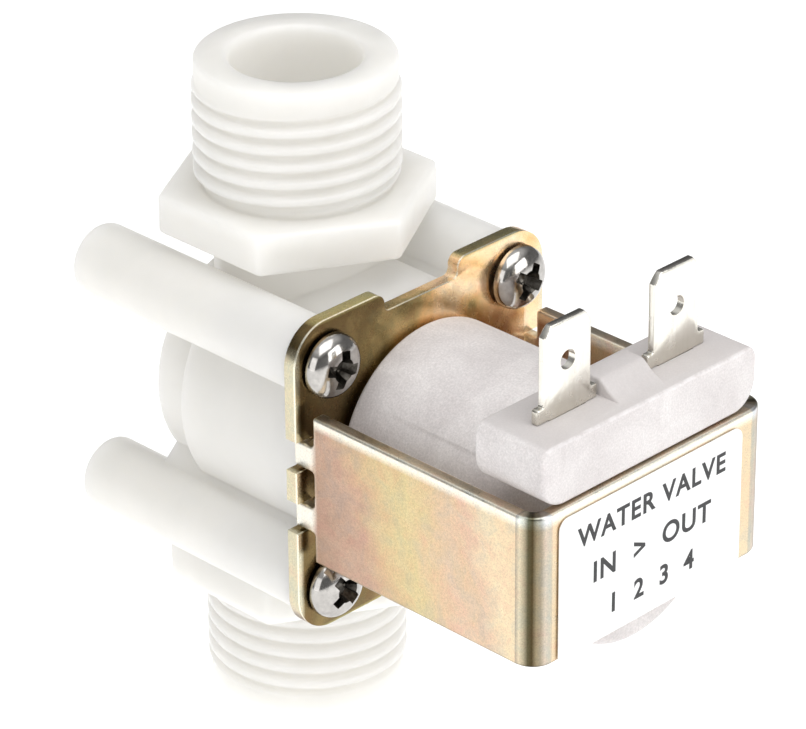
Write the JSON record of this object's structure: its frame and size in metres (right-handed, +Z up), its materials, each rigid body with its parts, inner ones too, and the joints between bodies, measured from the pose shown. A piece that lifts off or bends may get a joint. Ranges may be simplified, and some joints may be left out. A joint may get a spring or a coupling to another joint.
{
  "type": "solenoid valve",
  "caption": "Plastic straight-through solenoid water valve with male pipe threads, wrench flanges, rear pegs, plated U bracket, overmoulded coil and blade terminals.",
  "frame": {"origin": "on the pipe axis, where the solenoid axis crosses it", "axes": "+Z up along the pipe axis; -Y out of the pipe along the solenoid axis, so the label faces -Y; +X to the right of the label"},
  "size_m": [0.0344, 0.0635, 0.0706],
  "materials": {
    "natural_polypropylene": "translucent milky white, slightly glossy",
    "yellow_zinc_steel": "yellow chromate zinc plating with pink and green tints, fine grain",
    "grey_white_pbt": "matte pinkish grey-white moulding",
    "tinned_brass": "satin tin plating",
    "nickel_steel": "bright nickel plating",
    "black_epdm": "matte black rubber",
    "magnetic_stainless": "turned",
    "white_nylon": "satin white",
    "enamelled_copper": "varnished wire",
    "yellow_tape": "polyester tape",
    "white_label": "white film with dark print"
  },
  "bodies": {
    "housing": {"valve_body": "natural_polypropylene", "diaphragm": "black_epdm", "guide_tube": "white_nylon", "return_spring": "nickel_steel", "rear_flux_sleeve": "magnetic_stainless", "front_flux_sleeve": "magnetic_stainless", "coil_bobbin": "white_nylon", "coil_winding": "enamelled_copper", "winding_tape": "yellow_tape", "coil_lead_left": "enamelled_copper", "coil_lead_right": "enamelled_copper", "coil_overmould": "grey_white_pbt", "terminal_left": "tinned_brass", "terminal_right": "tinned_brass", "base_plate": "yellow_zinc_steel", "yoke_frame": "yellow_zinc_steel", "screw_upper_left": "nickel_steel", "screw_upper_right": "nickel_steel", "screw_lower_left": "nickel_steel", "screw_lower_right": "nickel_steel", "label": "white_label"},
    "plunger": {"armature": "magnetic_stainless", "armature_seal": "black_epdm"},
    "pilot_disc": {"diaphragm_support": "white_nylon"}
  },
  "joints": [
    {"name": "armature_slide", "type": "slide", "parent": "housing", "child": "plunger", "axis": [0, -1, 0], "range_m": [0, 0.003], "stiffness_N_per_m": 200, "springref_m": -0.0025, "deforming": ["return_spring"]},
    {"name": "diaphragm_lift", "type": "slide", "parent": "housing", "child": "pilot_disc", "axis": [0, -1, 0], "range_m": [0, 0.0015], "deforming": ["diaphragm"]}
  ],
  "couplings": [
    {"joint": "diaphragm_lift", "follows": "armature_slide", "ratio": 0.5}
  ]
}
